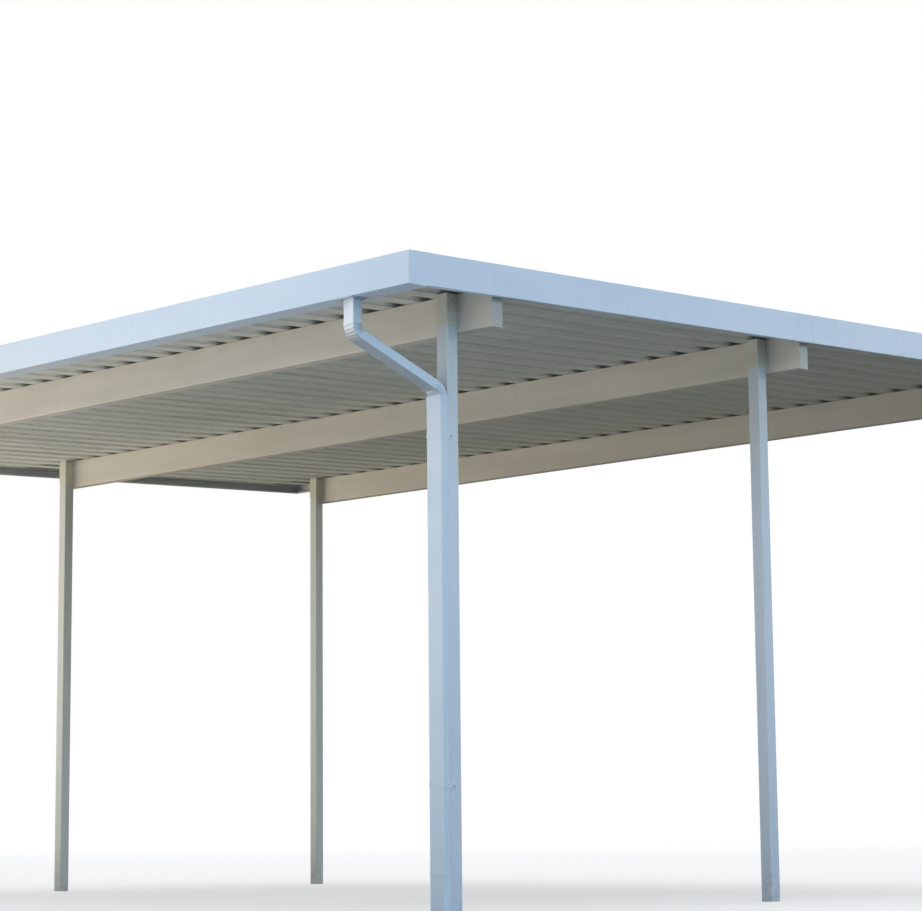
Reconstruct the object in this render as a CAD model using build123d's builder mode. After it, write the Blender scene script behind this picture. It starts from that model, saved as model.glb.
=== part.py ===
from build123d import *
import math
import os

# A flat white carport: three header beams on six posts carry ribbed roof sheets that
# fall towards a front gutter. X runs along the beams, Y along the sheets, Z is up.

# Roof outline
roof_depth = 6096.0  # outside face of the gutter to outside face of the rear fascia
rib_pitch = 203.2
rib_count = 37
roof_fall = 1 / 24  # rise towards the rear over run

# Roof sheets
rib_height = 50.8
rib_base = 101.6
rib_top = 50.8
sheet_metal = 1.6
ribs_per_sheet = 3
lap_clearance = 0.3
lap_edge_height = 5.0
sheet_end_clearance = 4.0
sheet_overhang_in_gutter = 40.0

# Header beams
beam_depth = 203.2
beam_width = 76.2
beam_wall = 2.5
beam_corner = 4.0
front_beam_setback = 636.0  # outside face of the gutter to the front beam's front face
rear_beam_setback = 278.0  # the rear beam's front face to the outside of the rear fascia
front_clearance = 2935.0  # floor to the underside of the front beam
beam_near_overhang = 281.0  # past the centre of the right posts
beam_far_overhang = 60.0  # past the centre of the left posts
cap_metal = 2.0
cap_lip = 22.0
cap_clearance = 0.2

# Posts and the saddles that hold the beams on them
post_side = 76.2
post_wall = 2.5
post_corner = 5.0
post_near_setback = 327.0  # centre of the right posts to the edge of the roof sheets
post_far_setback = 577.4  # centre of the left posts to the edge of the roof sheets
post_top_clearance = 1.0
saddle_metal = 3.0
saddle_flange = 20.0
saddle_top_margin = 12.0  # beam left bare above each saddle
saddle_bottom_margin = 32.0  # beam left bare below each saddle
saddle_bend = 4.0

# Fascia and gutter
fascia_metal = 2.0
fascia_drop = 57.0  # below the underside of the roof sheets
fascia_rise = 110.0  # above the underside of the roof sheets
fascia_flange = 30.0
fascia_shelf = 38.0
fascia_lip = 10.0
fascia_clearance = 0.3
trim_bend = 3.0  # outside radius of the folds in the fascia and gutter
gutter_width = 127.0
gutter_back_flange = 30.0
gutter_joint_gap = 0.4
splice_metal = 1.6
splice_length = 120.0
splice_height = 70.0
splice_clearance = 0.2

# Downspout
spout_width = 101.6
spout_depth = 50.8
spout_wall = 1.5
spout_corner = 4.0
outlet_offset = 137.0  # outlet centre to the left of the front right post's centre
outlet_drop = 170.0
offset_fall = 250.0
elbow_radius = 60.0
elbow_crimps = 5
crimp_depth = 1.4
crimp_chamfer = 2.9
spout_foot_height = 150.0
shoe_slope = 20.0  # degrees below level
spout_joint_gap = 0.2
spout_post_gap = 0.5
strap_metal = 1.5
strap_bend = 3.0
strap_height = 30.0
strap_tab = 40.0
strap_upper_drop = 218.0  # upper strap's lower edge below the top of the long run
strap_lower_rise = 470.0  # lower strap's lower edge above the corner of the shoe

# Worked out from the sizes above
deck_width = rib_pitch * rib_count
deck_edge = deck_width / 2
front_face = -roof_depth / 2
rear_face = roof_depth / 2
front_beam_y = front_face + front_beam_setback
rear_beam_y = rear_face - rear_beam_setback
beam_names = ["front", "middle", "rear"]
beam_spacing = (rear_beam_y - front_beam_y) / (len(beam_names) - 1)
beam_faces = [front_beam_y + i * beam_spacing for i in range(len(beam_names))]
right_posts_x = deck_edge - post_near_setback
left_posts_x = -deck_edge + post_far_setback
fall_direction = (0, 1, roof_fall)
fall_stretch = math.hypot(1, roof_fall)
lap_lift = sheet_metal + lap_clearance
sheet_start = front_face + gutter_width - sheet_overhang_in_gutter
sheet_end = rear_face - fascia_metal - sheet_end_clearance
outlet_x = right_posts_x - outlet_offset
outlet_y = front_face + gutter_width / 2


def deck_z(y):
    """Height of the underside of the roof sheets."""
    return front_clearance + beam_depth + (y - front_beam_y) * roof_fall


def facing_front(y):
    """A drawing plane across the roof at y, with X to the right and Z up."""
    return Plane(origin=(0, y, 0), x_dir=(1, 0, 0), z_dir=(0, -1, 0))


def facing_right(x):
    """A drawing plane along the roof at x, with Y to the right and Z up."""
    return Plane(origin=(x, 0, 0), x_dir=(0, 1, 0), z_dir=(1, 0, 0))


def save(part, label):
    part.label = label
    export_step(part, f"parts/{label}.step")


def folded_strip(outline, metal, bend, side=Side.LEFT):
    """Section through sheet metal folded along the outline, with a radius at each fold."""
    with BuildSketch() as strip:
        with BuildLine():
            surface = FilletPolyline(*outline, radius=bend)
            offset(surface, amount=metal, side=side)
        make_face()
    return strip.sketch


def rib_x(index):
    return -deck_edge + (index + 0.5) * rib_pitch


def make_beam(face_y, bottom):
    """A closed-section header beam with its front face at face_y."""
    left = left_posts_x - beam_far_overhang
    right = right_posts_x + beam_near_overhang
    centre = (face_y + beam_width / 2, bottom + beam_depth / 2)
    with BuildPart() as beam:
        with BuildSketch(facing_right(left)):
            with Locations(centre):
                RectangleRounded(beam_width, beam_depth, beam_corner)
                RectangleRounded(
                    beam_width - 2 * beam_wall,
                    beam_depth - 2 * beam_wall,
                    beam_corner - beam_wall,
                    mode=Mode.SUBTRACT,
                )
        extrude(amount=right - left)
    return beam.part


def make_beam_cap(end_x, outward, face_y, bottom):
    """A pressed cap that closes a beam's end, with a plug that fits inside the beam."""
    centre = (face_y + beam_width / 2, bottom + beam_depth / 2)
    plug_inset = beam_wall + cap_clearance
    with BuildPart() as cap:
        with BuildSketch(facing_right(end_x)):
            with Locations(centre):
                RectangleRounded(beam_width, beam_depth, beam_corner)
        extrude(amount=outward * cap_metal)
        with BuildSketch(facing_right(end_x)):
            with Locations(centre):
                RectangleRounded(
                    beam_width - 2 * plug_inset,
                    beam_depth - 2 * plug_inset,
                    beam_corner - beam_wall,
                )
                Rectangle(
                    beam_width - 2 * (plug_inset + cap_metal),
                    beam_depth - 2 * (plug_inset + cap_metal),
                    mode=Mode.SUBTRACT,
                )
        extrude(amount=-outward * cap_lip)
    return cap.part


def make_post(x, face_y):
    """A square tube post that stands against the front face of its beam."""
    top = deck_z(face_y - post_side) - post_top_clearance
    with BuildPart() as post:
        with BuildSketch(Plane.XY):
            with Locations((x, face_y - post_side / 2)):
                RectangleRounded(post_side, post_side, post_corner)
                RectangleRounded(
                    post_side - 2 * post_wall,
                    post_side - 2 * post_wall,
                    post_corner - post_wall,
                    mode=Mode.SUBTRACT,
                )
        extrude(amount=top)
    return post.part


def make_saddle(x, face_y, bottom):
    """A hat-shaped strap round the post's head, with flanges flat on the beam."""
    inner = post_side / 2
    front = face_y - post_side
    flange_end = inner + saddle_metal + saddle_flange
    post_outline = [
        (x - flange_end, face_y),
        (x - inner, face_y),
        (x - inner, front),
        (x + inner, front),
        (x + inner, face_y),
        (x + flange_end, face_y),
    ]
    with BuildPart() as saddle:
        with BuildSketch(Plane.XY.offset(bottom + saddle_bottom_margin)):
            add(folded_strip(post_outline, saddle_metal, saddle_bend, Side.RIGHT))
        extrude(amount=beam_depth - saddle_bottom_margin - saddle_top_margin)
    return saddle.part


def sheet_outline(first_rib, last_rib):
    """Underside of one roof sheet, from its under-lapped rib to its over-lapping one."""
    base, top = rib_base / 2, rib_top / 2
    web_run = base - top
    points = []
    if first_rib < 0:
        points.append((-deck_edge, 0))
    else:
        points.append((rib_x(first_rib) - top + lap_clearance, rib_height))
        points.append((rib_x(first_rib) + top, rib_height))
        points.append((rib_x(first_rib) + base, 0))
    for index in range(first_rib + 1, last_rib):
        points.append((rib_x(index) - base, 0))
        points.append((rib_x(index) - top, rib_height))
        points.append((rib_x(index) + top, rib_height))
        points.append((rib_x(index) + base, 0))
    if last_rib >= rib_count:
        points.append((deck_edge, 0))
    else:
        lap_edge = rib_x(last_rib) + base - web_run * lap_edge_height / rib_height
        points.append((rib_x(last_rib) - base, 0))
        points.append((rib_x(last_rib) - top, rib_height + lap_lift))
        points.append((rib_x(last_rib) + top, rib_height + lap_lift))
        points.append((lap_edge, lap_edge_height + lap_lift))
    return points


def make_sheet(first_rib, last_rib):
    """One folded roof sheet that runs down the fall into the gutter."""
    underside = [(x, z + deck_z(sheet_start)) for x, z in sheet_outline(first_rib, last_rib)]
    topside = [(x, z + sheet_metal) for x, z in reversed(underside)]
    with BuildPart() as sheet:
        with BuildSketch(facing_front(sheet_start)):
            with BuildLine():
                Polyline(*underside, *topside, close=True)
            make_face()
        extrude(amount=(sheet_end - sheet_start) * fall_stretch, dir=fall_direction)
    return sheet.part


def make_gutter(start, end):
    """A length of front gutter, whose tall outer wall is also the front fascia."""
    back = front_face + gutter_width
    bottom = deck_z(front_face) - fascia_drop
    top = deck_z(front_face) + fascia_rise
    lip = front_face + fascia_flange
    flange_end = back + gutter_back_flange
    flange_lift = fascia_metal * fall_stretch
    outside = [
        (lip, top - fascia_lip),
        (lip, top),
        (front_face, top),
        (front_face, bottom),
        (back, bottom),
        (back, deck_z(back) - flange_lift),
        (flange_end, deck_z(flange_end) - flange_lift),
    ]
    with BuildPart() as gutter:
        with BuildSketch(facing_right(start)):
            add(folded_strip(outside, fascia_metal, trim_bend))
        extrude(amount=end - start)
        if start < outlet_x < end:
            with BuildSketch(Plane.XY.offset(bottom)):
                with Locations((outlet_x, outlet_y)):
                    Rectangle(spout_width - 2 * spout_wall, spout_depth - 2 * spout_wall)
            extrude(amount=fascia_metal, mode=Mode.SUBTRACT)
    return gutter.part


def make_gutter_splice():
    """A channel inside the gutter that carries the joint between its two lengths."""
    inset = fascia_metal + splice_clearance
    front = front_face + inset
    back = front_face + gutter_width - inset
    bottom = deck_z(front_face) - fascia_drop + inset
    top = bottom + splice_height
    outside = [(front, top), (front, bottom), (back, bottom), (back, min(top, deck_z(back) - inset))]
    with BuildPart() as splice:
        with BuildSketch(facing_right(-splice_length / 2)):
            add(folded_strip(outside, splice_metal, trim_bend))
        extrude(amount=splice_length)
    return splice.part


def make_gutter_end(side):
    """An end plate that closes the gutter and carries the fascia's line round the corner."""
    back = front_face + gutter_width
    plate_end = back + gutter_back_flange
    gutter_bottom = deck_z(front_face) - fascia_drop
    with BuildPart() as plate:
        with BuildSketch(facing_right(side * (deck_edge + fascia_clearance))) as outline:
            with BuildLine():
                Polyline(
                    (front_face, gutter_bottom),
                    (back, gutter_bottom),
                    (back, deck_z(back) - fascia_drop),
                    (plate_end, deck_z(plate_end) - fascia_drop),
                    (plate_end, deck_z(plate_end) + fascia_rise),
                    (front_face, deck_z(front_face) + fascia_rise),
                    close=True,
                )
            make_face()
            fillet(outline.vertices().group_by(Axis.X)[0], trim_bend)
        extrude(amount=side * fascia_metal)
    return plate.part


def make_side_fascia(side):
    """A side fascia: a tall web with a shelf that carries the deck's edge."""
    web_in = deck_edge + fascia_clearance
    web_out = web_in + fascia_metal
    flange_in = web_in - fascia_flange
    shelf_length = fascia_shelf + fascia_metal / 2
    flange_start = front_face + gutter_width + gutter_back_flange + fascia_clearance
    flange_end = rear_face - fascia_shelf - fascia_metal - fascia_clearance
    deck = deck_z(flange_start)
    low, high = deck - fascia_drop, deck + fascia_rise
    outside = [
        (flange_in, low + fascia_lip),
        (flange_in, low),
        (web_out, low),
        (web_out, high),
        (flange_in, high),
        (flange_in, high - fascia_lip),
    ]
    with BuildPart() as fascia:
        with BuildSketch(facing_front(flange_start)):
            add(folded_strip(outside, fascia_metal, trim_bend))
            with Locations((web_in + fascia_metal / 2, deck)):
                Rectangle(shelf_length, fascia_metal, align=(Align.MAX, Align.MAX))
        extrude(amount=(flange_end - flange_start) * fall_stretch, dir=fall_direction)
        web_bottom = deck_z(flange_end) - fascia_drop
        with BuildSketch(facing_front(flange_end)):
            with Locations((web_in, web_bottom)):
                Rectangle(fascia_metal, fascia_drop + fascia_rise, align=Align.MIN)
        extrude(amount=(rear_face - flange_end) * fall_stretch, dir=fall_direction)
        if side < 0:
            mirror(about=Plane.YZ, mode=Mode.REPLACE)
    return fascia.part


def make_rear_fascia():
    """The rear fascia, with a shelf under the high ends of the roof sheets."""
    middle = rear_face - fascia_metal / 2
    shelf = rear_face - fascia_shelf
    flange = rear_face - fascia_flange
    low, high = deck_z(rear_face) - fascia_drop, deck_z(rear_face) + fascia_rise
    outside = [
        (flange, low + fascia_lip),
        (flange, low),
        (rear_face, low),
        (rear_face, high),
        (flange, high),
        (flange, high - fascia_lip),
    ]
    with BuildPart() as fascia:
        with BuildSketch(facing_right(-deck_width / 2)):
            add(folded_strip(outside, fascia_metal, trim_bend))
            with BuildLine():
                Polyline(
                    (middle, deck_z(middle) - fascia_metal),
                    (shelf, deck_z(shelf) - fascia_metal),
                    (shelf, deck_z(shelf)),
                    (middle, deck_z(middle)),
                    close=True,
                )
            make_face()
        extrude(amount=deck_width)
    return fascia.part


def spout_size(inset):
    """Width, depth and corner radius of the spout, drawn in by the inset."""
    return spout_width - 2 * inset, spout_depth - 2 * inset, spout_corner - inset


def make_spout_run(start, end, width_axis):
    """A straight length of rectangular spout."""
    along = end - start
    with BuildPart() as run:
        with BuildSketch(Plane(origin=start, x_dir=width_axis, z_dir=along)):
            RectangleRounded(*spout_size(0))
            RectangleRounded(*spout_size(spout_wall), mode=Mode.SUBTRACT)
        extrude(amount=along.length)
    return run.part


def elbow_setback(into, out):
    """How far before and after its corner an elbow starts and ends."""
    return elbow_radius * math.tan(math.radians(into.get_angle(out)) / 2)


def spout_ring(plane, draw_in):
    """Corners of the spout's outline on the plane, drawn in, in order round it."""
    x = spout_width / 2 - draw_in
    y = spout_depth / 2 - draw_in
    cut = crimp_chamfer - draw_in / 2
    ring = [(x - cut, y), (x, y - cut)]
    ring += [(x, -y) for x, y in reversed(ring)]
    ring += [(-x, y) for x, y in reversed(ring)]
    return [plane.from_local_coords((x, y, 0)) for x, y in ring]


def faceted_body(rings):
    """A closed body of flat faces, from ring to ring of corners."""
    faces = [Face(Wire.make_polygon(rings[0])), Face(Wire.make_polygon(rings[-1]))]
    for near, far in zip(rings, rings[1:]):
        for a, b, c, d in zip(near, near[1:] + near[:1], far[1:] + far[:1], far):
            faces.append(Face(Wire.make_polygon([a, b, c])))
            faces.append(Face(Wire.make_polygon([a, c, d])))
    return Solid(Shell(faces))


def make_elbow(corner, into, out, axis_in, axis_out):
    """A crimped bend in the spout, through ridges and grooves along its arc."""
    turn = math.radians(into.get_angle(out))
    start = corner - into * elbow_setback(into, out)
    inward = (out - into * into.dot(out)).normalized()
    planes = []
    for step in range(2 * elbow_crimps + 1):
        share = step / (2 * elbow_crimps)
        angle = turn * share
        point = start + into * elbow_radius * math.sin(angle)
        point = point + inward * elbow_radius * (1 - math.cos(angle))
        tangent = into * math.cos(angle) + inward * math.sin(angle)
        axis = axis_in * (1 - share) + axis_out * share
        planes.append(Plane(origin=point, x_dir=axis, z_dir=tangent))
    with BuildPart() as elbow:
        for inset, mode in ((0, Mode.ADD), (spout_wall, Mode.SUBTRACT)):
            rings = []
            for step, plane in enumerate(planes):
                rings.append(spout_ring(plane, inset + step % 2 * crimp_depth))
            add(faceted_body(rings), mode=mode)
    return elbow.part


def make_strap(z):
    """A strap round the spout that folds back onto both sides of the post."""
    post_left = right_posts_x - post_side / 2
    post_front = front_beam_y - post_side
    spout_left, spout_right = spout_x - spout_width / 2, spout_x + spout_width / 2
    spout_front = post_front - spout_post_gap - spout_depth
    tab_end = post_front + strap_tab
    inside = [
        (post_left, tab_end),
        (post_left, post_front),
        (spout_left, post_front),
        (spout_left, spout_front),
        (spout_right, spout_front),
        (spout_right, tab_end),
    ]
    with BuildPart() as strap:
        with BuildSketch(Plane.XY.offset(z)):
            add(folded_strip(inside, strap_metal, strap_bend, Side.RIGHT))
        extrude(amount=strap_height)
    return strap.part


os.makedirs("parts", exist_ok=True)

# Header beams with their end caps
for name, face_y in zip(beam_names, beam_faces):
    bottom = deck_z(face_y) - beam_depth
    save(make_beam(face_y, bottom), f"header_beam_{name}")
    right_end = right_posts_x + beam_near_overhang
    left_end = left_posts_x - beam_far_overhang
    save(make_beam_cap(right_end, 1, face_y, bottom), f"beam_cap_{name}_right")
    save(make_beam_cap(left_end, -1, face_y, bottom), f"beam_cap_{name}_left")
    for side, x in (("left", left_posts_x), ("right", right_posts_x)):
        save(make_post(x, face_y), f"post_{name}_{side}")
        save(make_saddle(x, face_y, bottom), f"saddle_{name}_{side}")

# Roof sheets, each lapping over the next one's first rib
lap_ribs = [-1] + list(range(ribs_per_sheet - 1, rib_count - 1, ribs_per_sheet)) + [rib_count]
for number, (first_rib, last_rib) in enumerate(zip(lap_ribs, lap_ribs[1:]), 1):
    save(make_sheet(first_rib, last_rib), f"roof_sheet_{number:02d}")

# Gutter and fascia
save(make_gutter(gutter_joint_gap / 2, deck_edge), "gutter_right")
save(make_gutter(-deck_edge, -gutter_joint_gap / 2), "gutter_left")
save(make_gutter_splice(), "gutter_splice")
save(make_gutter_end(1), "gutter_end_right")
save(make_gutter_end(-1), "gutter_end_left")
save(make_side_fascia(1), "side_fascia_right")
save(make_side_fascia(-1), "side_fascia_left")
save(make_rear_fascia(), "rear_fascia")

# Downspout: outlet, two elbows, the sloping offset, the long run down the post and the shoe
gutter_bottom = deck_z(front_face) - fascia_drop
spout_x = right_posts_x + post_side / 2 - spout_width / 2
spout_y = front_beam_y - post_side - spout_post_gap - spout_depth / 2
down = Vector(0, 0, -1)
across_long_run = Vector(-1, 0, 0)
outlet_point = Vector(outlet_x, outlet_y, gutter_bottom)
upper_corner = outlet_point + down * outlet_drop
lower_corner = Vector(spout_x, spout_y, upper_corner.Z - offset_fall)
offset_direction = (lower_corner - upper_corner).normalized()
across_offset = (-down).cross(offset_direction).normalized()
shoe_angle = math.radians(shoe_slope)
shoe_direction = Vector(0, -math.cos(shoe_angle), -math.sin(shoe_angle))
shoe_corner = Vector(spout_x, spout_y, spout_foot_height)
bend_setback = elbow_setback(down, offset_direction)
shoe_setback = elbow_setback(down, shoe_direction)

outlet_end = upper_corner - down * (bend_setback + spout_joint_gap)
save(make_spout_run(outlet_point, outlet_end, across_offset), "downspout_outlet")
upper_elbow = make_elbow(upper_corner, down, offset_direction, across_offset, across_offset)
save(upper_elbow, "downspout_upper_elbow")
run_start = upper_corner + offset_direction * (bend_setback + spout_joint_gap)
run_end = lower_corner - offset_direction * (bend_setback + spout_joint_gap)
save(make_spout_run(run_start, run_end, across_offset), "downspout_offset")
lower_elbow = make_elbow(lower_corner, offset_direction, down, across_offset, across_long_run)
save(lower_elbow, "downspout_lower_elbow")
long_start = lower_corner + down * (bend_setback + spout_joint_gap)
long_end = shoe_corner - down * (shoe_setback + spout_joint_gap)
save(make_spout_run(long_start, long_end, across_long_run), "downspout")
shoe = make_elbow(shoe_corner, down, shoe_direction, across_long_run, across_long_run)
save(shoe, "downspout_shoe")
save(make_strap(long_start.Z - strap_upper_drop), "downspout_strap_upper")
save(make_strap(shoe_corner.Z + strap_lower_rise), "downspout_strap_lower")
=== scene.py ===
import bmesh
import bpy
import math
from mathutils import Matrix, Vector


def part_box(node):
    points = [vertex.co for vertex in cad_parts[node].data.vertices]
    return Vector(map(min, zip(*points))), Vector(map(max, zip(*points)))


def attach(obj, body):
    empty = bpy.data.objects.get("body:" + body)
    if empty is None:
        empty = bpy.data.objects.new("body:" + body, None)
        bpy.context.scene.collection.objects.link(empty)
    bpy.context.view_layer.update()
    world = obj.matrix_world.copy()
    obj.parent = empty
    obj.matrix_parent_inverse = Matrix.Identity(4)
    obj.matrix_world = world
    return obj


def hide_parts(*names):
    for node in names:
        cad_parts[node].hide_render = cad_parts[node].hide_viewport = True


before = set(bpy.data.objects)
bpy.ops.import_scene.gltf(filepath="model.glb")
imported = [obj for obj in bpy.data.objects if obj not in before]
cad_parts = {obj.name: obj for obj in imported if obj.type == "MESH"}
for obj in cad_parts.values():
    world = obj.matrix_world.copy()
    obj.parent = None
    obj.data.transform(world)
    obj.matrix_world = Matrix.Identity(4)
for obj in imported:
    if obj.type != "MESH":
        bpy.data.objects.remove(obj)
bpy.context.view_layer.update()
print("frame loaded,", len(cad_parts), "nodes")

# Places that the added pieces share, read from the frame
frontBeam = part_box("header_beam_front")
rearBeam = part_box("header_beam_rear")
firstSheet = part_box("roof_sheet_01")
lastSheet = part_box("roof_sheet_13")
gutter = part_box("gutter_right")
beamNames = ["front", "middle", "rear"]
sideNames = {"left": -1, "right": 1}
roofFall = (rearBeam[0].z - frontBeam[0].z) / (rearBeam[0].y - frontBeam[0].y)
roofTilt = Matrix.Rotation(math.atan(roofFall), 4, "X")

roof = {
    "ribPitch": 0.2032,
    "ribCount": 37,
    "ribHeight": 0.0508,
    "metal": 0.0016,
    "ribsPerSheet": 3,
}


def deckHeight(y):  # underside of the roof sheets
    return frontBeam[1].z + (y - frontBeam[0].y) * roofFall


def ribPlace(index):
    return firstSheet[0].x + (index + 0.5) * roof["ribPitch"]


# Shader maths

class Wire:  # one output socket, so that maths on it reads as maths
    def __init__(self, tree, socket=None):
        self.tree = tree
        self.socket = socket

    def node(self, kind, settings=None, sockets=None, out=0):
        made = self.tree.nodes.new(kind)
        for name, value in (settings or {}).items():
            setattr(made, name, value)
        for key, value in (sockets or {}).items():
            if isinstance(value, Wire):
                self.tree.links.new(value.socket, made.inputs[key])
            else:
                made.inputs[key].default_value = value
        return Wire(self.tree, made.outputs[out] if made.outputs else None)

    def maths(self, operation, first, second=0.0):
        return self.node("ShaderNodeMath", {"operation": operation}, {0: first, 1: second})

    def __add__(self, other):
        return self.maths("ADD", self, other)

    def __sub__(self, other):
        return self.maths("SUBTRACT", self, other)

    def __rsub__(self, other):
        return self.maths("SUBTRACT", other, self)

    def __mul__(self, other):
        return self.maths("MULTIPLY", self, other)

    __radd__ = __add__
    __rmul__ = __mul__

    def unsigned(self):
        return self.maths("ABSOLUTE", self)


def stretched(place, scale):  # the place, squeezed so that a noise runs out into streaks
    return place.node("ShaderNodeVectorMath", {"operation": "MULTIPLY"}, {0: place, 1: scale})


def cloud(place, scale, detail, roughness=0.5):
    sockets = {"Vector": place, "Scale": scale, "Detail": detail, "Roughness": roughness}
    return place.node("ShaderNodeTexNoise", {}, sockets)


def fade(value, low, high):  # 0 below low, 1 above high, smooth between
    sockets = {"Value": value, "From Min": low, "From Max": high}
    return value.node("ShaderNodeMapRange", {"interpolation_type": "SMOOTHSTEP"}, sockets)


def tinted(amount, under, over):  # a colour that goes from under to over
    under = under if isinstance(under, Wire) else (*under, 1)
    over = over if isinstance(over, Wire) else (*over, 1)
    settings = {"data_type": "RGBA"}
    return amount.node("ShaderNodeMix", settings, {0: amount, 6: under, 7: over}, out=2)


def newSurface(name):
    material = bpy.data.materials.new(name)
    material.use_nodes = True
    material.node_tree.nodes.clear()
    wire = Wire(material.node_tree)
    place = wire.node("ShaderNodeTexCoord", out="Object")
    return material, place


def bumped(heights, distance):
    sockets = {"Height": heights, "Distance": distance, "Strength": 1.0}
    return heights.node("ShaderNodeBump", {}, sockets)


def endSurface(place, colour, roughness, normal, coat=0.0, metallic=0.0):
    sockets = {"Base Color": colour, "Roughness": roughness, "Normal": normal}
    sockets.update({"Coat Weight": coat, "Coat Roughness": 0.25, "Metallic": metallic})
    shader = place.node("ShaderNodeBsdfPrincipled", {}, sockets)
    place.node("ShaderNodeOutputMaterial", {}, {"Surface": shader})


def axisPart(place, axis):
    return place.node("ShaderNodeSeparateXYZ", {}, {0: place}, out=axis)


# Posts: white enamel with a painted blue cast of sky light, painted cool shade low down, painted
# shade under the roof, painted warm shade on the left, streaked, splashed low down
postLook = {
    # Enamel and chalk: white paint with a painted blue cast of sky light
    "enamel": (0.60, 0.67, 0.75),
    "chalk": (0.65, 0.71, 0.78),
    "patchScale": 2.2,
    # low: painted cool shade on the lower posts
    "low": (0.51, 0.59, 0.70),
    "lowShadeReach": (0.2, 2.4),
    "lowShadeShare": 0.75,
    # warm: painted warm shade on the left posts
    "warm": (0.56, 0.56, 0.50),
    "leftShadeReach": (-3.0, 2.5),
    "leftShadeShare": 0.85,
    "shaded": (0.47, 0.48, 0.44),
    "shadeReach": (1.9, 3.1),
    "shadeShare": 0.5,
    "streak": (0.40, 0.44, 0.47),
    "streakStretch": (38.0, 38.0, 1.1),
    "streakShare": 0.3,
    "splash": (0.27, 0.25, 0.21),
    "splashTop": 0.42,
    "splashScale": 22.0,
    "splashShare": 0.35,
    "speckleScale": 160.0,
    "speckleShare": 0.12,
    "grainScale": 420.0,
    "grain": 0.00012,
    "coat": 0.15,
}


def makePostEnamel(look):
    material, place = newSurface("postEnamel")
    height = axisPart(place, "Z")
    patches = fade(cloud(place, look["patchScale"], 4.0), 0.35, 0.68)
    streaks = fade(cloud(stretched(place, look["streakStretch"]), 1.0, 5.0, 0.6), 0.52, 0.74)
    speckle = fade(cloud(place, look["speckleScale"], 3.0, 0.65), 0.5, 0.72)
    lowDown = 1.0 - fade(height, 0.0, look["splashTop"])
    splash = lowDown * lowDown * fade(cloud(place, look["splashScale"], 6.0, 0.7), 0.36, 0.66)
    colour = tinted(patches, look["enamel"], look["chalk"])
    # Painted cool shade low down
    lowShadeMask = 1.0 - fade(height, *look["lowShadeReach"])
    colour = tinted(lowShadeMask * look["lowShadeShare"], colour, look["low"])
    # Painted warm shade towards the left
    leftward = 1.0 - fade(axisPart(place, "X"), *look["leftShadeReach"])
    colour = tinted(leftward * look["leftShadeShare"], colour, look["warm"])
    shade = fade(height, *look["shadeReach"])
    colour = tinted(shade * look["shadeShare"], colour, look["shaded"])
    colour = tinted(streaks * look["streakShare"], colour, look["streak"])
    spots = splash * look["splashShare"] + speckle * lowDown * look["speckleShare"]
    colour = tinted(spots, colour, look["splash"])
    roughness = patches * 0.12 + streaks * 0.08 + splash * 0.3 + 0.32
    normal = bumped(cloud(place, look["grainScale"], 2.0), look["grain"])
    endSurface(place, colour, roughness, normal, coat=look["coat"])
    return material


# Header beams, caps and saddles: ivory, darkened and warmed as painted shade under the roof, the
# caps most, draw lines along the beam, drips from the top edge
beamLook = {
    # Beam, cap and saddle tones: ivory paint darkened as painted shade under the roof
    "beam": {"enamel": (0.58, 0.54, 0.47), "chalk": (0.63, 0.59, 0.52)},
    "cap": {"enamel": (0.40, 0.40, 0.37), "chalk": (0.45, 0.45, 0.42)},
    "saddle": {"enamel": (0.55, 0.53, 0.44), "chalk": (0.60, 0.58, 0.49)},
    "patchStretch": (0.8, 3.0, 6.0),
    "drawStretch": (0.35, 60.0, 60.0),
    "drip": (0.28, 0.25, 0.19),
    "dripStretch": (16.0, 16.0, 0.7),
    "dripShare": 0.16,
    "dustScale": 90.0,
    "dustShare": 0.12,
    "grainScale": 380.0,
    "grain": 0.00025,
    "coat": 0.1,
}


def makeBeamEnamel(kind, look):
    material, place = newSurface(kind + "Enamel")
    patches = fade(cloud(stretched(place, look["patchStretch"]), 1.4, 4.0), 0.35, 0.7)
    drawLines = cloud(stretched(place, look["drawStretch"]), 2.2, 4.0, 0.55)
    drips = fade(cloud(stretched(place, look["dripStretch"]), 1.0, 5.0, 0.7), 0.55, 0.85)
    dust = fade(cloud(place, look["dustScale"], 4.0, 0.7), 0.5, 0.8)
    colour = tinted(patches, look[kind]["enamel"], look[kind]["chalk"])
    dirtAndShade = drips * look["dripShare"] + dust * look["dustShare"]
    colour = tinted(dirtAndShade, colour, look["drip"])
    roughness = patches * 0.12 + drips * 0.1 + 0.38
    relief = drawLines * 0.6 + cloud(place, look["grainScale"], 2.0) * 0.3
    normal = bumped(relief, look["grain"])
    endSurface(place, colour, roughness, normal, coat=look["coat"])
    return material


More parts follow.
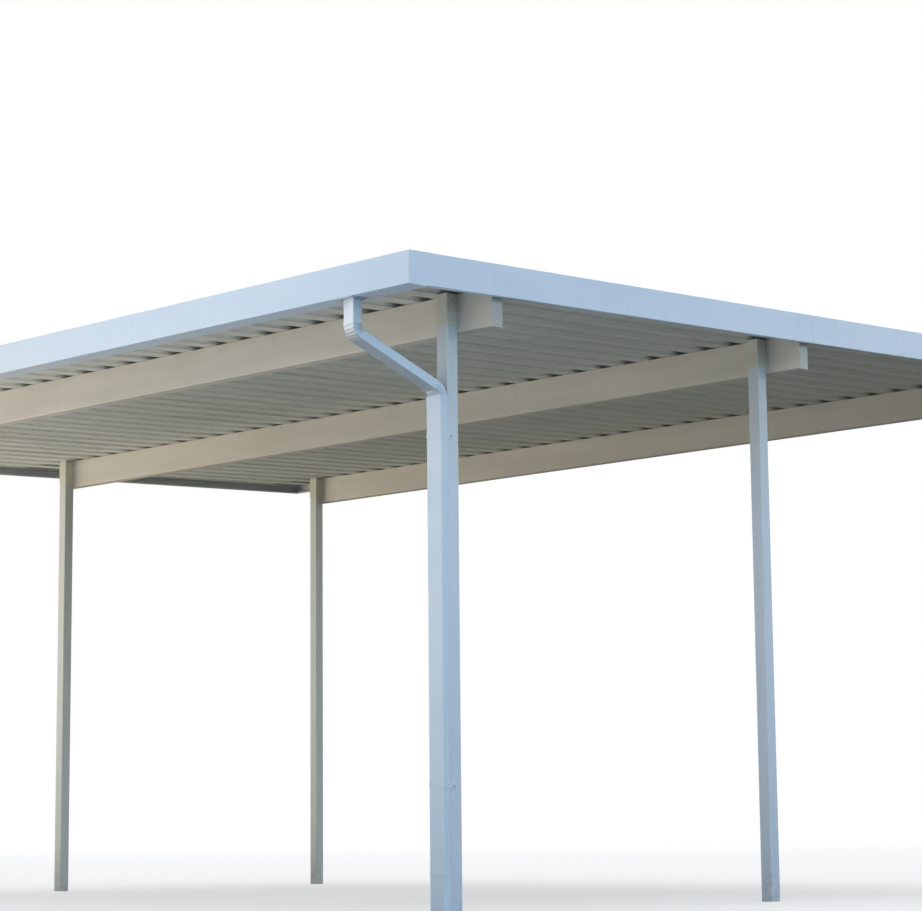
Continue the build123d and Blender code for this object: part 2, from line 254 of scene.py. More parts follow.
# Roof sheets: off-white, ribs painted paler as painted light in their hollows, dirt at their feet,
# painted shade in the ribs over the beams, runs down the fall
roofLook = {
    "enamel": (0.53, 0.54, 0.51),
    "chalk": (0.59, 0.60, 0.57),
    "patchStretch": (2.4, 0.5, 1.0),
    # ribs: painted light in the rib hollows, less on the top face
    "ribHollowLight": (0.88, 0.87, 0.80),
    "ribEdges": (0.042, 0.056),
    "ribShare": 0.9,
    "ribShareLostOnTop": 0.5,
    "stain": (0.24, 0.23, 0.18),
    "runStretch": (46.0, 0.55, 1.0),
    "runShare": 0.3,
    "blotScale": 5.5,
    "blotShare": 0.2,
    "dustScale": 70.0,
    "ribFoot": 0.053,
    "ribFootEdges": (0.001, 0.016),
    "ribFootShare": 0.08,
    "ribFootDust": 0.25,
    # Painted shade in the rib hollows over each beam
    "beamShadeTone": (0.15, 0.14, 0.12),
    "beamShadeSetback": 0.08,
    "beamShadeReach": (0.09, 0.22),
    "grimeAndShadeShare": 0.8,
    "topStain": (0.34, 0.32, 0.27),
    "topDust": 0.3,
    "topBlots": 0.25,
    "rippleStretch": (9.0, 0.4, 1.0),
    "grainScale": 300.0,
    "panBead": 0.084,
    "panBeadEdges": (0.0005, 0.004),
    "relief": 0.0016,
}


def makeRoofEnamel(look):
    material, place = newSurface("roofEnamel")
    facing = place.node("ShaderNodeNewGeometry", out="Normal")
    upward = fade(axisPart(facing, "Z"), 0.0, 0.3)
    patches = fade(cloud(stretched(place, look["patchStretch"]), 1.6, 5.0), 0.35, 0.7)
    runs = fade(cloud(stretched(place, look["runStretch"]), 1.0, 5.0, 0.6), 0.48, 0.75)
    blots = fade(cloud(place, look["blotScale"], 6.0, 0.7), 0.52, 0.78)
    dust = fade(cloud(place, look["dustScale"], 4.0, 0.75), 0.48, 0.8)
    turns = (axisPart(place, "X") - firstSheet[0].x) * (1 / roof["ribPitch"])
    fromRib = (turns.maths("FRACT", turns) - 0.5).unsigned() * roof["ribPitch"]
    onRib = 1.0 - fade(fromRib, *look["ribEdges"])
    ribFoot = 1.0 - fade((fromRib - look["ribFoot"]).unsigned(), *look["ribFootEdges"])
    colour = tinted(patches, look["enamel"], look["chalk"])
    ribShare = look["ribShare"] - upward * look["ribShareLostOnTop"]
    # Painted light in the rib hollows, less on the top face
    colour = tinted(onRib * ribShare, colour, look["ribHollowLight"])
    colour = tinted(runs * look["runShare"] + blots * look["blotShare"], colour, look["stain"])
    footStain = ribFoot * (dust * look["ribFootDust"] + look["ribFootShare"])
    colour = tinted(footStain, colour, look["stain"])
    hollow = onRib * (1.0 - upward)
    for beamName in beamNames:  # painted shade in the hollow of each rib, over and behind a beam
        low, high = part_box("header_beam_" + beamName)
        behind = axisPart(place, "Y") - ((low.y + high.y) / 2 + look["beamShadeSetback"])
        near = 1.0 - fade(behind.unsigned(), *look["beamShadeReach"])
        colour = tinted(hollow * near * look["grimeAndShadeShare"], colour, look["beamShadeTone"])
    topStain = upward * (dust * look["topDust"] + blots * look["topBlots"])
    colour = tinted(topStain, colour, look["topStain"])
    roughness = patches * 0.1 + runs * 0.12 + upward * dust * 0.2 + 0.42
    ripple = cloud(stretched(place, look["rippleStretch"]), 1.2, 2.0)
    grain = cloud(place, look["grainScale"], 2.0)
    panBead = 1.0 - fade((fromRib - look["panBead"]).unsigned(), *look["panBeadEdges"])
    normal = bumped(ripple * 0.5 + grain * 0.05 + panBead * 0.8, look["relief"])
    endSurface(place, colour, roughness, normal)
    return material


# Gutter and fascia: smooth white with a painted blue cast of sky light, the gutter kept darker as
# painted shade, painted shade on the left, a slight wave in the wide flats
trimLook = {
    # Enamel and chalk: white paint with a painted blue cast of sky light; the gutter's are darker
    # as painted shade
    "gutter": {"enamel": (0.55, 0.66, 0.80), "chalk": (0.60, 0.70, 0.83)},
    "fascia": {"enamel": (0.60, 0.69, 0.81), "chalk": (0.65, 0.73, 0.84)},
    "patchStretch": (1.0, 1.0, 3.0),
    # warm: painted shade on the left
    "warm": (0.46, 0.47, 0.46),
    "leftShadeReach": (-3.7, 3.0),
    "leftShadeShare": 0.85,
    "streak": (0.36, 0.41, 0.45),
    "streakStretch": (22.0, 22.0, 1.2),
    "streakShare": 0.12,
    "waveScale": 2.4,
    "grainScale": 400.0,
    "wave": 0.0009,
    "coat": 0.2,
}


def makeTrimEnamel(kind, look):
    material, place = newSurface(kind + "Enamel")
    spread = stretched(place, look["patchStretch"])
    patches = fade(cloud(spread, 1.1, 2.0), 0.25, 0.75)
    streaks = fade(cloud(stretched(place, look["streakStretch"]), 1.0, 3.0, 0.55), 0.5, 0.85)
    colour = tinted(patches, look[kind]["enamel"], look[kind]["chalk"])
    # Painted shade towards the left
    leftward = 1.0 - fade(axisPart(place, "X"), *look["leftShadeReach"])
    colour = tinted(leftward * look["leftShadeShare"], colour, look["warm"])
    colour = tinted(streaks * look["streakShare"], colour, look["streak"])
    roughness = patches * 0.06 + streaks * 0.12 + 0.28
    wave = cloud(spread, look["waveScale"], 1.0)
    normal = bumped(wave + cloud(place, look["grainScale"], 2.0) * 0.03, look["wave"])
    endSurface(place, colour, roughness, normal, coat=look["coat"])
    return material


# Spout: white sheet with a painted blue cast of sky light, lengthwise roll marks, grime in
# streaks, painted cool shade low down, painted shade near the top and on the sloping piece
spoutLook = {
    # Enamel and chalk: white paint with a painted blue cast of sky light
    "enamel": (0.60, 0.69, 0.79),
    "chalk": (0.65, 0.73, 0.82),
    "patchScale": 3.0,
    "rollStretch": (90.0, 90.0, 0.5),
    "grime": (0.36, 0.39, 0.41),
    "grimeStretch": (60.0, 60.0, 1.5),
    "grimeAndShadeShare": 0.25,
    # low: painted cool shade low down
    "low": (0.51, 0.61, 0.73),
    "lowShadeReach": (0.2, 2.2),
    "lowShadeShare": 0.7,
    # high: painted shade near the top, under the gutter
    "high": (0.38, 0.46, 0.56),
    "highShadeReach": (2.3, 2.95),
    "highShadeShare": 0.3,
    # slope: painted shade on the sloping faces
    "slopeShadeTone": (0.16, 0.19, 0.21),
    "slopeTilt": (0.12, 0.35),
    "slopeShadeShare": 0.5,
    "slopeShadePatches": 0.2,
    "grainScale": 420.0,
    "grain": 0.0003,
    "coat": 0.2,
}


def makeSpoutEnamel(look):
    material, place = newSurface("spoutEnamel")
    height = axisPart(place, "Z")
    patches = fade(cloud(place, look["patchScale"], 4.0), 0.35, 0.7)
    rollMarks = cloud(stretched(place, look["rollStretch"]), 1.0, 3.0)
    streaks = fade(cloud(stretched(place, look["grimeStretch"]), 1.0, 5.0, 0.6), 0.55, 0.8)
    colour = tinted(patches, look["enamel"], look["chalk"])
    colour = tinted(streaks * look["grimeAndShadeShare"], colour, look["grime"])
    # Painted cool shade low down
    lowShadeMask = 1.0 - fade(height, *look["lowShadeReach"])
    colour = tinted(lowShadeMask * look["lowShadeShare"], colour, look["low"])
    # Painted shade near the top
    highShadeMask = fade(height, *look["highShadeReach"])
    colour = tinted(highShadeMask * look["highShadeShare"], colour, look["high"])
    # Painted shade on the sloping faces, patchy
    facing = place.node("ShaderNodeNewGeometry", out="True Normal")
    sloping = fade(axisPart(facing, "Z").unsigned(), *look["slopeTilt"])
    dirtAndShade = sloping * (patches * look["slopeShadePatches"] + look["slopeShadeShare"])
    colour = tinted(dirtAndShade, colour, look["slopeShadeTone"])
    roughness = patches * 0.1 + streaks * 0.1 + 0.3
    normal = bumped(rollMarks + cloud(place, look["grainScale"], 2.0) * 0.2, look["grain"])
    endSurface(place, colour, roughness, normal, coat=look["coat"])
    return material


# Plated screws
fixingLook = {
    "zinc": (0.56, 0.57, 0.56),
    "dull": (0.44, 0.45, 0.44),
    "patchScale": 240.0,
    "grainScale": 900.0,
    "grain": 0.0001,
    "metallic": 0.25,
}


def makeFixingMetal(look):
    material, place = newSurface("platedFixing")
    patches = fade(cloud(place, look["patchScale"], 3.0), 0.4, 0.65)
    colour = tinted(patches, look["zinc"], look["dull"])
    normal = bumped(cloud(place, look["grainScale"], 2.0), look["grain"])
    endSurface(place, colour, patches * 0.25 + 0.35, normal, metallic=look["metallic"])
    return material


# The grey sealant at the joints
sealantLook = {
    "fresh": (0.62, 0.62, 0.60),
    "aged": (0.46, 0.45, 0.42),
    "patchScale": 40.0,
    "lumpScale": 160.0,
    "lump": 0.0006,
}


def makeSealant(look):
    material, place = newSurface("paleSealant")
    patches = fade(cloud(place, look["patchScale"], 4.0), 0.4, 0.65)
    colour = tinted(patches, look["fresh"], look["aged"])
    normal = bumped(cloud(place, look["lumpScale"], 3.0), look["lump"])
    endSurface(place, colour, patches * 0.1 + 0.55, normal)
    return material


postEnamel = makePostEnamel(postLook)
beamEnamel = makeBeamEnamel("beam", beamLook)
capEnamel = makeBeamEnamel("cap", beamLook)
saddleEnamel = makeBeamEnamel("saddle", beamLook)
roofEnamel = makeRoofEnamel(roofLook)
gutterEnamel = makeTrimEnamel("gutter", trimLook)
fasciaEnamel = makeTrimEnamel("fascia", trimLook)
spoutEnamel = makeSpoutEnamel(spoutLook)
fixingMetal = makeFixingMetal(fixingLook)
sealant = makeSealant(sealantLook)
print("finishes made")

# Every CAD node keeps its shape and takes its finish
nodeFinishes = {
    "post_": postEnamel,
    "header_beam_": beamEnamel,
    "beam_cap_": capEnamel,
    "saddle_": saddleEnamel,
    "roof_sheet_": roofEnamel,
    "gutter_end_": fasciaEnamel,
    "gutter_": gutterEnamel,
    "side_fascia_": fasciaEnamel,
    "rear_fascia": fasciaEnamel,
    "downspout": spoutEnamel,
}
for nodeName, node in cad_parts.items():
    finish = next(nodeFinishes[start] for start in nodeFinishes if nodeName.startswith(start))
    if not node.material_slots:
        node.data.materials.append(finish)
    for slot in node.material_slots:
        slot.material = finish
print("finishes on the CAD nodes")


# Small pieces, stamped many times from one shape

def finishPiece(name, shape, material):
    mesh = bpy.data.meshes.new(name)
    shape.to_mesh(mesh)
    shape.free()
    mesh.materials.append(material)
    piece = bpy.data.objects.new(name, mesh)
    bpy.context.scene.collection.objects.link(piece)
    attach(piece, "root")
    return piece


def stampPieces(name, stampShape, places, material):
    stamp = bpy.data.meshes.new(name + "Stamp")
    stampShape.to_mesh(stamp)
    stampShape.free()
    joined = bmesh.new()
    for place in places:
        start = len(joined.verts)
        joined.from_mesh(stamp)
        joined.verts.ensure_lookup_table()
        bmesh.ops.transform(joined, matrix=place, verts=joined.verts[start:])
    bpy.data.meshes.remove(stamp)
    print(name, len(places))
    return finishPiece(name, joined, material)


def moved(x, y, z):
    return Matrix.Translation((x, y, z))


def facingOut(x, y, z, direction):  # turns a stamp's +Z to the direction, at the point
    turn = Vector(direction).to_track_quat("Z", "Y").to_matrix().to_4x4()
    return moved(x, y, z) @ turn


def outerFace(box, side):  # X of the face of a box that looks out, on the left or the right
    return box[1].x if side > 0 else box[0].x


def thickened(shape, vector):  # flat faces drawn out into a closed solid
    drawn = bmesh.ops.extrude_face_region(shape, geom=shape.faces[:], use_keep_orig=True)
    far = [v for v in drawn["geom"] if isinstance(v, bmesh.types.BMVert)]
    bmesh.ops.translate(shape, vec=vector, verts=far)
    bmesh.ops.recalc_face_normals(shape, faces=shape.faces)
    return shape


screwLook = {
    "washerRadius": 0.0085,
    "washerHeight": 0.0022,
    "flangeRadius": 0.0066,
    "flangeHeight": 0.0012,
    "roundSides": 14,
    "headRadius": 0.0048,
    "headHeight": 0.0048,
    "headSides": 6,
    "edge": 0.0005,
}


def makeScrew(look):  # hex head on a flange, over a sealing washer
    shape = bmesh.new()
    height = 0.0
    rounds = [
        (look["washerRadius"], look["washerHeight"], look["roundSides"]),
        (look["flangeRadius"], look["flangeHeight"], look["roundSides"]),
        (look["headRadius"], look["headHeight"], look["headSides"]),
    ]
    for radius, depth, sides in rounds:
        place = moved(0, 0, height + depth / 2)
        disc = bmesh.ops.create_cone(
            shape, cap_ends=True, segments=sides, radius1=radius, radius2=radius,
            depth=depth, matrix=place,
        )
        top = [v for v in disc["verts"] if v.co.z > height + depth / 2]
        rim = [e for e in shape.edges if e.verts[0] in top and e.verts[1] in top]
        bmesh.ops.bevel(
            shape, geom=rim, offset=look["edge"], segments=1, affect="EDGES",
            profile=0.5, material=-1,
        )
        height += depth
    return shape


rivetLook = {"radius": 0.0034, "rise": 0.45, "sides": 10, "rings": 6}


def makeRivet(look):
    shape = bmesh.new()
    bmesh.ops.create_uvsphere(
        shape, u_segments=look["sides"], v_segments=look["rings"], radius=look["radius"]
    )
    bmesh.ops.scale(shape, vec=(1, 1, look["rise"]), verts=shape.verts)
    return shape


# Roof screws through the pans into each beam, and stitch screws along each lap
roofScrews = {
    "beamEndGap": 0.02,
    "lapClearance": 0.0003,
    "stitchSpacing": 0.61,
    "stitchStart": 0.35,
}
panScrewPlaces = []
for beamName in beamNames:
    low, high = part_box("header_beam_" + beamName)
    y = (low.y + high.y) / 2
    for index in range(roof["ribCount"] - 1):
        x = ribPlace(index) + roof["ribPitch"] / 2
        if low.x + roofScrews["beamEndGap"] < x < high.x - roofScrews["beamEndGap"]:
            panScrewPlaces.append(moved(x, y, deckHeight(y) + roof["metal"]) @ roofTilt)
stampPieces("roof_screws", makeScrew(screwLook), panScrewPlaces, fixingMetal)

lapScrewPlaces = []
lapTop = roof["ribHeight"] + 2 * roof["metal"] + roofScrews["lapClearance"]
for index in range(roof["ribsPerSheet"] - 1, roof["ribCount"] - 1, roof["ribsPerSheet"]):
    y = firstSheet[0].y + roofScrews["stitchStart"]
    while y < firstSheet[1].y - roofScrews["stitchStart"] / 2:
        lapScrewPlaces.append(moved(ribPlace(index), y, deckHeight(y) + lapTop) @ roofTilt)
        y += roofScrews["stitchSpacing"]
stampPieces("lap_screws", makeScrew(screwLook), lapScrewPlaces, fixingMetal)

# Screws that hold the outer sheets to the shelves of the side fascia
edgeScrews = {"spacing": 0.508, "inset": 0.0243, "start": 0.18, "endGap": 0.1}
edgePlaces = []
for sideName, side in sideNames.items():
    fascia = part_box("side_fascia_" + sideName)
    x = outerFace(fascia, side) - side * edgeScrews["inset"]
    y = fascia[0].y + edgeScrews["start"]
    while y < fascia[1].y - edgeScrews["endGap"]:
        edgePlaces.append(moved(x, y, deckHeight(y) + roof["metal"]) @ roofTilt)
        y += edgeScrews["spacing"]
stampPieces("edge_screws", makeScrew(screwLook), edgePlaces, fixingMetal)

# Screws in each saddle: flanges to the beam, and sides to the post
saddleScrews = {"endInset": 0.028, "flangeInset": 0.010, "metal": 0.003}
saddlePlaces = []
for beamName in beamNames:
    for sideName in sideNames:
        low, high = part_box("saddle_" + beamName + "_" + sideName)
        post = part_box("post_" + beamName + "_" + sideName)
        middle = (low.z + high.z) / 2
        heights = (low.z + saddleScrews["endInset"], middle, high.z - saddleScrews["endInset"])
        y = high.y - saddleScrews["metal"]
        for z in heights:
            for x in (low.x + saddleScrews["flangeInset"], high.x - saddleScrews["flangeInset"]):
                saddlePlaces.append(facingOut(x, y, z, (0, -1, 0)))
        y = (post[0].y + post[1].y) / 2
        for z in (heights[0], heights[2]):
            for side in sideNames.values():
                x = outerFace(post, side) + side * saddleScrews["metal"]
                saddlePlaces.append(facingOut(x, y, z, (side, 0, 0)))
stampPieces("saddle_screws", makeScrew(screwLook), saddlePlaces, fixingMetal)

# Rivets in the beam caps, the gutter's end plates and joint, and the rear corners of the fascia
rivetRows = {
    "capInset": 0.012,
    "capEnds": 0.04,
    "plateFront": ((0.012, 0.02), (0.012, 0.08), (0.012, 0.14)),  # in from the front, and up
    "plateFloor": ((0.06, 0.009), (0.11, 0.009)),
    "plateBack": ((-0.012, 0.03), (-0.012, 0.09), (-0.012, 0.15)),  # from the back edge, and up
    "jointAcross": (-0.042, -0.016, 0.016, 0.042),
    "jointUp": (0.018, 0.055),
    "cornerIn": (0.012, 0.034),
    "cornerDown": (0.03, 0.085, 0.14),
}
capRivets = []
for beamName in beamNames:
    low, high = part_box("header_beam_" + beamName)
    for x in (low.x + rivetRows["capInset"], high.x - rivetRows["capInset"]):
        for z in (low.z + rivetRows["capEnds"], high.z - rivetRows["capEnds"]):
            capRivets.append(facingOut(x, low.y, z, (0, -1, 0)))
            capRivets.append(facingOut(x, high.y, z, (0, 1, 0)))
stampPieces("cap_rivets", makeRivet(rivetLook), capRivets, capEnamel)

gutterRivets = []
for sideName, side in sideNames.items():
    low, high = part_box("gutter_end_" + sideName)
    x = outerFace((low, high), side)
    for y, z in rivetRows["plateFront"] + rivetRows["plateFloor"]:
        gutterRivets.append(facingOut(x, low.y + y, low.z + z, (side, 0, 0)))
    for y, z in rivetRows["plateBack"]:
        gutterRivets.append(facingOut(x, high.y + y, low.z + z, (side, 0, 0)))
for x in rivetRows["jointAcross"]:
    for z in rivetRows["jointUp"]:
        gutterRivets.append(facingOut(x, gutter[0].y, gutter[0].z + z, (0, -1, 0)))
for sideName, side in sideNames.items():
    low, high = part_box("side_fascia_" + sideName)
    x = outerFace((low, high), side)
    for y in rivetRows["cornerIn"]:
        for z in rivetRows["cornerDown"]:
            gutterRivets.append(facingOut(x, high.y - y, high.z - z, (side, 0, 0)))
stampPieces("gutter_rivets", makeRivet(rivetLook), gutterRivets, fasciaEnamel)

# Hangers that tie the gutter's lip back to the roof sheets, in every fourth pan
hanger = {
    "width": 0.025,
    "metal": 0.003,
    "everyPan": 4,
    "lipBack": 0.036,
    "lipDrop": 0.0055,
    "hook": 0.012,
    "footStart": 0.100,
    "footEnd": 0.165,
    "clearance": 0.0004,
}


def hangerLine(look):  # underside of a hanger from lip to foot, as y and z
    front, top = gutter[0].y, gutter[1].z
    lipHeight = top - look["lipDrop"]
    line = [
        (front + look["lipBack"] - look["hook"], lipHeight),
        (front + look["lipBack"] + look["hook"] / 2, lipHeight),
    ]
    for setBack in (look["footStart"], look["footEnd"]):
        y = front + setBack
        line.append((y, deckHeight(y) + roof["metal"] + look["clearance"]))
    return line


def makeHanger(look):
    shape = bmesh.new()
    under = hangerLine(look)
    over = [(y, z + look["metal"]) for y, z in reversed(under)]
    corners = [shape.verts.new((-look["width"] / 2, y, z)) for y, z in under + over]
    shape.faces.new(corners)
    return thickened(shape, (look["width"], 0, 0))


hangerPlaces = []
hangerScrewPlaces = []
footY = gutter[0].y + (hanger["footStart"] + hanger["footEnd"]) / 2
for index in range(1, roof["ribCount"] - 1, hanger["everyPan"]):
    x = ribPlace(index) + roof["ribPitch"] / 2
    height = deckHeight(footY) + roof["metal"] + hanger["clearance"] + hanger["metal"]
    hangerPlaces.append(moved(x, 0, 0))
    hangerScrewPlaces.append(moved(x, footY, height) @ roofTilt)
stampPieces("gutter_hangers", makeHanger(hanger), hangerPlaces, gutterEnamel)
stampPieces("hanger_screws", makeScrew(screwLook), hangerScrewPlaces, fixingMetal)

# Sealant where sheets meet the fascia, and at the gutter's ends and joint
beads = {
    "radius": 0.0035,
    "step": 0.03,
    "sides": 6,
    "waver": 0.22,
    "endTaper": 0.35,
    "sheetEdge": 0.002,
    "sheetStart": 0.203,
    "sheetEnd": 0.01,
    "sheetLift": 0.001,
    "gutterInset": 0.003,
    "gutterWidth": 0.118,
    "gutterTop": 0.012,
    "jointSetback": 0.0605,
    "jointRise": 0.07,
}


def addBead(shape, start, end, look):  # an uneven rope of sealant from point to point
    start, end = Vector(start), Vector(end)
    along = (end - start).normalized()
    across = along.orthogonal().normalized()
    turn = Matrix((across.cross(along), across, along)).transposed().to_4x4()
    count = max(2, round((end - start).length / look["step"]))
    radii = []
    for step in range(count + 1):
        taper = look["endTaper"] if step in (0, count) else 1.0
        uneven = math.sin(step * 1.7) * 0.6 + math.sin(step * 0.63 + 1.0) * 0.4  # two uneven waves
        radii.append(look["radius"] * taper * (1 + look["waver"] * uneven))
    ring = bmesh.ops.create_circle(
        shape, cap_ends=True, segments=look["sides"], radius=radii[0],
        matrix=Matrix.Translation(start) @ turn,
    )
    tip = ring["verts"][0].link_faces[0]
    for step in range(count):
        drawn = bmesh.ops.extrude_face_region(shape, geom=[tip, *tip.edges])["geom"]
        tip = next(part for part in drawn if isinstance(part, bmesh.types.BMFace))
        growth = radii[step + 1] / radii[step]
        centre = Matrix.Translation(-start.lerp(end, step / count))
        bmesh.ops.scale(shape, vec=[growth] * 3, space=centre, verts=tip.verts[:])
        bmesh.ops.translate(shape, vec=(end - start) / count, verts=tip.verts[:])


def makeBeads(look):
    shape = bmesh.new()
    sheetStart = gutter[0].y + look["sheetStart"]
    sheetEnd = firstSheet[1].y - look["sheetEnd"]
    lift = roof["metal"] + look["sheetLift"]
    front = gutter[0].y + look["gutterInset"]
    back = front + look["gutterWidth"]
    trough = gutter[0].z + look["gutterInset"]
    top = gutter[1].z - look["gutterTop"]
    for side in sideNames.values():
        edge = side * (lastSheet[1].x - look["sheetEdge"])
        near = (edge, sheetStart, deckHeight(sheetStart) + lift)
        far = (edge, sheetEnd, deckHeight(sheetEnd) + lift)
        addBead(shape, near, far, look)
        addBead(shape, (edge, front, trough), (edge, back, trough), look)
        addBead(shape, (edge, front, trough), (edge, front, top), look)
        joint = side * look["jointSetback"]
        addBead(shape, (joint, front, trough), (joint, back, trough), look)
        addBead(shape, (joint, front, trough), (joint, front, trough + look["jointRise"]), look)
    bmesh.ops.recalc_face_normals(shape, faces=shape.faces)
    return shape


finishPiece("sealant_beads", makeBeads(beads), sealant)
print("hangers and sealant made")

# Downspout: swaged collars at the joints, the outlet's flange, the foot, strap screws
spout = {
    "width": 0.1016,
    "depth": 0.0508,
    "wall": 0.0015,
    "corner": 0.004,
    "bendSetback": 0.0366,
    "collarHeight": 0.022,
    "collarWall": 0.0012,
    "flangeWidth": 0.024,
    "flangeHeight": 0.0018,
    "footGap": 0.015,
    "strapScrewInset": 0.018,
}


def makeCollar(width, depth, wall, height, corner):
    shape = bmesh.new()
    bmesh.ops.create_grid(shape, x_segments=1, y_segments=1, size=0.5)
    bmesh.ops.scale(shape, vec=(width + 2 * wall, depth + 2 * wall, 1), verts=shape.verts)
    if corner:
        bmesh.ops.bevel(
            shape, geom=shape.verts[:], offset=corner, segments=3, affect="VERTICES",
            profile=0.5, material=-1,
        )
    inner = shape.faces[:]
    bmesh.ops.inset_region(
        shape, faces=inner, thickness=wall, use_boundary=True, use_even_offset=True
    )
    bmesh.ops.delete(shape, geom=inner, context="FACES")
    return thickened(shape, (0, 0, height))


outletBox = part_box("downspout_outlet")
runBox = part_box("downspout")
outletX, outletY = [(outletBox[0][i] + outletBox[1][i]) / 2 for i in (0, 1)]
runX, runY = [(runBox[0][i] + runBox[1][i]) / 2 for i in (0, 1)]
upperCorner = Vector((outletX, outletY, outletBox[0].z - spout["bendSetback"]))
lowerCorner = Vector((runX, runY, runBox[1].z + spout["bendSetback"]))
offsetDirection = (lowerCorner - upperCorner).normalized()
acrossOffset = Vector((0, 0, 1)).cross(offsetDirection).normalized()


def spoutPlace(point, along, across):  # a stamp's X goes across the spout, Z along it
    side = along.cross(across).normalized()
    turn = Matrix((across, side, along)).transposed().to_4x4()
    return Matrix.Translation(point) @ turn


down = Vector((0, 0, -1))
acrossRun = Vector((1, 0, 0))
upperEnd = upperCorner + offsetDirection * spout["bendSetback"]
lowerEnd = lowerCorner - offsetDirection * spout["bendSetback"]
collarPlaces = [
    spoutPlace(Vector((outletX, outletY, outletBox[0].z)), -down, acrossOffset),
    spoutPlace(upperEnd, offsetDirection, acrossOffset),
    spoutPlace(lowerEnd, -offsetDirection, acrossOffset),
    spoutPlace(Vector((runX, runY, runBox[1].z)), down, acrossRun),
    spoutPlace(Vector((runX, runY, runBox[0].z)), -down, acrossRun),
]
collar = makeCollar(
    spout["width"], spout["depth"], spout["collarWall"], spout["collarHeight"], spout["corner"]
)
stampPieces("spout_collars", collar, collarPlaces, spoutEnamel)

flange = makeCollar(
    spout["width"], spout["depth"], spout["flangeWidth"], spout["flangeHeight"], 0.0
)
flangePlace = spoutPlace(
    Vector((outletX, outletY, outletBox[1].z - spout["flangeHeight"])), -down, acrossOffset
)
stampPieces("outlet_flange", flange, [flangePlace], spoutEnamel)

# The photograph shows the spout running straight down, so a plain foot ends it
footWidth = spout["width"] - 2 * spout["wall"]
footDepth = spout["depth"] - 2 * spout["wall"]
footHeight = runBox[0].z - spout["footGap"]
foot = makeCollar(footWidth, footDepth, spout["wall"], footHeight, spout["corner"])
footPlace = spoutPlace(Vector((runX, runY, spout["footGap"])), -down, acrossRun)
straightFoot = stampPieces("downspout_foot", foot, [footPlace], spoutEnamel)
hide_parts("downspout_shoe")

strapPlaces = []
for name in ("upper", "lower"):
    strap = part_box("downspout_strap_" + name)
    y = strap[1].y - spout["strapScrewInset"]
    z = (strap[0].z + strap[1].z) / 2
    for side in (1, -1):
        strapPlaces.append(facingOut(outerFace(strap, side), y, z, (side, 0, 0)))
stampPieces("strap_screws", makeScrew(screwLook), strapPlaces, fixingMetal)

# Floor, light and camera
stage = {
    "floorSize": 400.0,
    "seenTone": (0.86, 0.86, 0.86),
    "leftBounce": (0.76, 0.71, 0.60),
    "rightBounce": (0.20, 0.28, 0.37),
    "rearBounce": (0.16, 0.16, 0.14),
    "across": (-5.0, 4.0),
    "along": (-6.0, 2.5),
    "nearWhite": 0.4,
    "fadeStart": 9.0,
    "fadeEnd": 60.0,
}


def makeFloor():  # pale to the camera, darker to the light that it throws back
    shape = bmesh.new()
    bmesh.ops.create_grid(shape, x_segments=1, y_segments=1, size=stage["floorSize"] / 2)
    mesh = bpy.data.meshes.new("floor")
    shape.to_mesh(mesh)
    shape.free()
    material, place = newSurface("paleFloor")
    distance = place.node("ShaderNodeVectorMath", {"operation": "LENGTH"}, {0: place}, out="Value")
    seen = place.node("ShaderNodeLightPath", out="Is Camera Ray")
    rightward = fade(axisPart(place, "X"), *stage["across"])
    backward = fade(axisPart(place, "Y"), *stage["along"])
    bounce = tinted(rightward, stage["leftBounce"], stage["rightBounce"])
    bounce = tinted(backward, bounce, stage["rearBounce"])
    tone = tinted(seen, bounce, stage["seenTone"])
    matt = place.node("ShaderNodeBsdfDiffuse", {}, {"Color": tone})
    white = place.node("ShaderNodeEmission", {}, {"Color": (1, 1, 1, 1), "Strength": 1.0})
    distant = fade(distance, stage["fadeStart"], stage["fadeEnd"])
    far = seen * (distant * (1 - stage["nearWhite"]) + stage["nearWhite"])
    shader = place.node("ShaderNodeMixShader", {}, {0: far, 1: matt, 2: white})
    place.node("ShaderNodeOutputMaterial", {}, {"Surface": shader})
    mesh.materials.append(material)
    floor = bpy.data.objects.new("floor", mesh)
    bpy.context.scene.collection.objects.link(floor)


lighting = {
    "skyStrength": 0.34,
    "suns": {  # where the light comes from, its height in degrees, width, level and tint
        "topSun": ((0.0, -0.2), 80.0, 70.0, 0.38, (1.0, 1.0, 1.0)),
        "frontSun": ((0.2, -1.0), 14.0, 40.0, 0.19, (0.82, 0.93, 1.0)),
        "rightSun": ((1.0, -0.1), 18.0, 40.0, 0.36, (0.50, 0.77, 1.0)),
        "leftSun": ((-1.0, -0.2), 12.0, 40.0, 0.26, (1.0, 0.95, 0.87)),
        "rearSun": ((0.1, 1.0), 22.0, 50.0, 0.34, (0.97, 0.98, 1.0)),
    },
    "reflectors": {  # panels just over the floor that throw light up under the roof
        "frontReflector": {
            "place": (-2.5, -7.5, 0.06),
            "size": (12.0, 6.0),
            "power": 370.0,
            "tint": (1.0, 0.95, 0.88),
        },
        "leftReflector": {
            "place": (-8.5, -3.5, 0.06),
            "size": (7.0, 9.0),
            "power": 640.0,
            "tint": (1.0, 0.92, 0.78),
        },
    },
}


def addLamp(name, light, direction):
    lamp = bpy.data.objects.new(name, light)
    bpy.context.scene.collection.objects.link(lamp)
    lamp.visible_camera = False
    lamp.rotation_mode = "QUATERNION"
    lamp.rotation_quaternion = Vector(direction).to_track_quat("-Z", "Y")
    return lamp


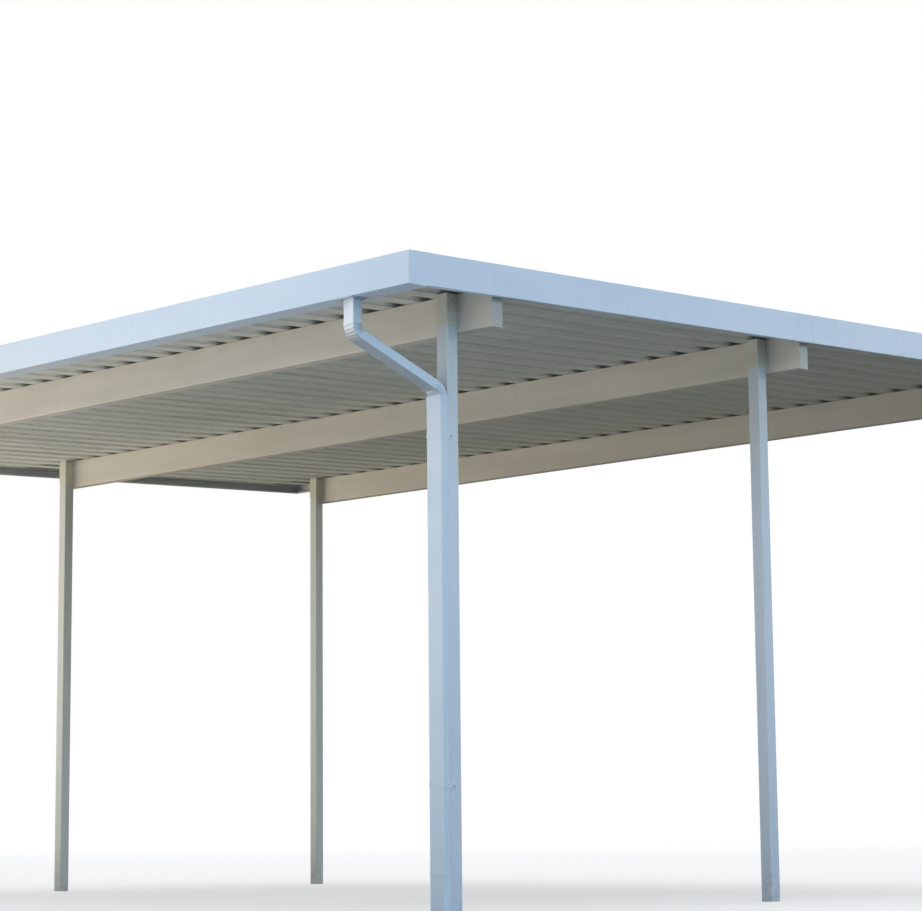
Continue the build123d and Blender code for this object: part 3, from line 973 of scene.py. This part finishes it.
def makeLight():
    world = bpy.data.worlds.new("studioWorld")
    bpy.context.scene.world = world
    world.use_nodes = True
    world.node_tree.nodes.clear()
    wire = Wire(world.node_tree)
    white = (1, 1, 1, 1)
    skyLook = {"Color": white, "Strength": lighting["skyStrength"]}
    sky = wire.node("ShaderNodeBackground", {}, skyLook)
    backdrop = wire.node("ShaderNodeBackground", {}, {"Color": white, "Strength": 1.0})
    seen = wire.node("ShaderNodeLightPath", out="Is Camera Ray")
    glossy = wire.node("ShaderNodeLightPath", out="Is Glossy Ray")
    shader = wire.node("ShaderNodeMixShader", {}, {0: seen + glossy, 1: sky, 2: backdrop})
    wire.node("ShaderNodeOutputWorld", {}, {"Surface": shader})
    for name, (side, height, width, level, tint) in lighting["suns"].items():
        light = bpy.data.lights.new(name, "SUN")
        light.energy = level * math.pi
        light.angle = math.radians(width)
        light.color = tint
        rise = math.hypot(*side) * math.tan(math.radians(height))
        addLamp(name, light, (-side[0], -side[1], -rise))
    for name, panel in lighting["reflectors"].items():
        light = bpy.data.lights.new(name, "AREA")
        light.shape = "RECTANGLE"
        light.size, light.size_y = panel["size"]
        light.energy = panel["power"]
        light.color = panel["tint"]
        addLamp(name, light, (0, 0, 1)).location = panel["place"]


# The camera stands low, well back from the front right corner
view = {
    "imageWidth": 922,
    "focalPixels": 2540.75,
    "sensor": 36.0,
    "place": (12.3651, -11.5835, 0.4001),
    "yaw": 0.76914,
    "pitch": 0.14758,
    "roll": -0.00944,
    "clip": (0.1, 1000.0),
}


def makeCamera():
    camera = bpy.data.cameras.new("viewCamera")
    camera.sensor_width = view["sensor"]
    camera.lens = view["sensor"] * view["focalPixels"] / view["imageWidth"]
    camera.clip_start, camera.clip_end = view["clip"]
    yaw, pitch, roll = view["yaw"], view["pitch"], view["roll"]
    level = Vector((math.cos(yaw), math.sin(yaw), 0))
    forward = Vector((-math.sin(yaw), math.cos(yaw), 0))
    ahead = forward * math.cos(pitch) + Vector((0, 0, math.sin(pitch)))
    upright = level.cross(ahead)
    across = level * math.cos(roll) + upright * math.sin(roll)
    up = upright * math.cos(roll) - level * math.sin(roll)
    turn = Matrix((across, up, -ahead)).transposed().to_4x4()
    holder = bpy.data.objects.new("viewCamera", camera)
    bpy.context.scene.collection.objects.link(holder)
    holder.matrix_world = Matrix.Translation(view["place"]) @ turn
    bpy.context.scene.camera = holder


makeFloor()
makeLight()
makeCamera()
bpy.context.scene.view_settings.view_transform = "Standard"
print("floor, light and camera set")
